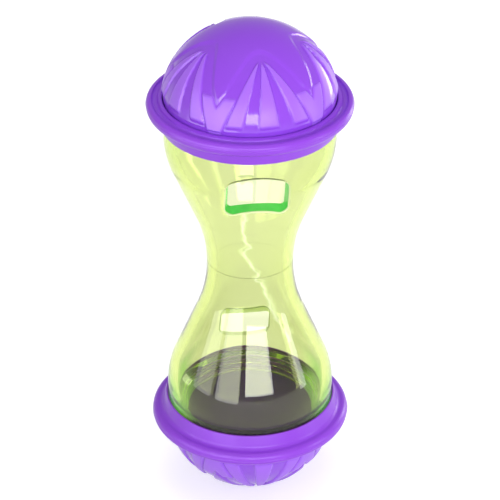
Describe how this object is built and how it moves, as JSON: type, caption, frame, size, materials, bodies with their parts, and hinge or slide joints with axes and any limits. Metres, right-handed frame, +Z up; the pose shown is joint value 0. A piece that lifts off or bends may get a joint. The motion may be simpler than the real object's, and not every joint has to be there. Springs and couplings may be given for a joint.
{
  "type": "treat dispensing chew toy",
  "caption": "Hourglass dog toy: clear slotted bulbs joined at a narrow waist, each end closed by a purple screw ring round a fluted dome; treats drop out through the slots.",
  "frame": {"origin": "centre of the small flat under the lower dome, where the toy rests", "axes": "+Z up along the toy's axis through both bulbs; the upper slot faces -Y and the lower slot faces +Y"},
  "size_m": [0.074, 0.074, 0.1898],
  "materials": {
    "clear_green": "clear gloss",
    "ring_purple": "satin",
    "dome_purple": "gloss",
    "plate_purple": "satin"
  },
  "bodies": {
    "bulbs": {"upper_bulb": "clear_green", "lower_bulb": "clear_green"},
    "upper_cap": {"upper_dome": "dome_purple", "upper_floor_plate": "plate_purple"},
    "upper_ring": {"upper_screw_ring": "ring_purple"},
    "lower_cap": {"lower_dome": "dome_purple", "lower_floor_plate": "plate_purple"},
    "lower_ring": {"lower_screw_ring": "ring_purple"}
  },
  "joints": [
    {"name": "upper_cap_lift", "type": "slide", "parent": "bulbs", "child": "upper_cap", "axis": [0, 0, 1], "range_m": [0, 0.0048]},
    {"name": "upper_ring_turn", "type": "hinge", "parent": "upper_cap", "child": "upper_ring", "pos_m": [0, 0, 0.15996], "axis": [0, 0, 1], "range_deg": [0, 360]},
    {"name": "lower_cap_lift", "type": "slide", "parent": "bulbs", "child": "lower_cap", "axis": [0, 0, -1], "range_m": [0, 0.0048]},
    {"name": "lower_ring_turn", "type": "hinge", "parent": "lower_cap", "child": "lower_ring", "pos_m": [0, 0, 0.02856], "axis": [0, 0, -1], "range_deg": [0, 360]}
  ],
  "couplings": [
    {"joint": "upper_ring_turn", "follows": "upper_cap_lift", "rad_per_m": 1309},
    {"joint": "lower_ring_turn", "follows": "lower_cap_lift", "rad_per_m": 1309}
  ]
}
